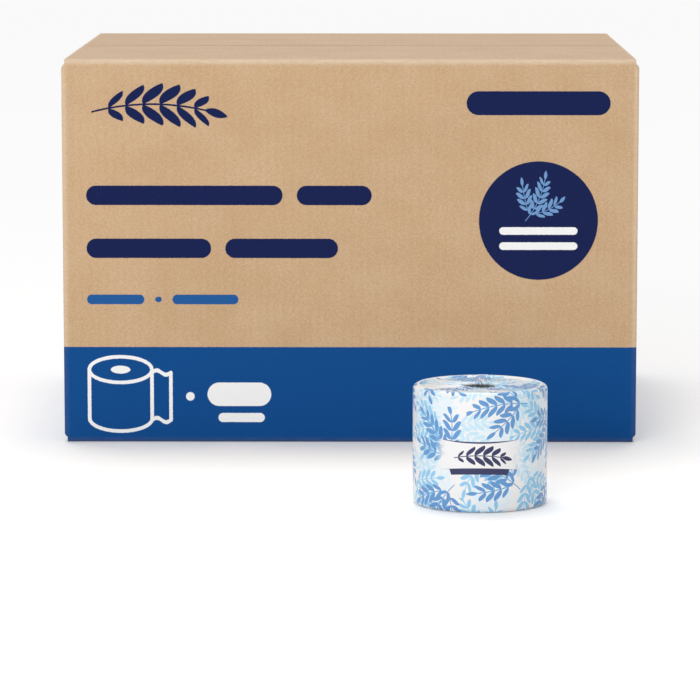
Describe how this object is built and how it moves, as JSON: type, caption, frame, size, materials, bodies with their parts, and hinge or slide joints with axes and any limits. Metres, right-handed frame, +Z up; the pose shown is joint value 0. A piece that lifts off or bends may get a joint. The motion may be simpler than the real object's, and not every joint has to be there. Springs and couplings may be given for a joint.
{
  "type": "toilet paper roll pack",
  "caption": "Sealed slotted carton of toilet paper rolls with a paper-wrapped roll standing upright in front of it.",
  "frame": {"origin": "on the surface that the pack stands on, in the middle of the whole pack's footprint", "axes": "+Z up; the carton's printed front faces -Y, and the roll stands before it; +X to the right seen from the front"},
  "size_m": [0.53, 0.8435, 0.355],
  "materials": {
    "printed_board": "uncoated kraft liner, printed",
    "printed_paper": "thin glazed paper, printed",
    "core_board": "spiral-wound grey board",
    "tissue": "soft embossed tissue"
  },
  "bodies": {
    "root": {"carton": "printed_board", "wrapper": "printed_paper", "core_tube": "core_board", "tissue_roll": "tissue"}
  },
  "joints": []
}
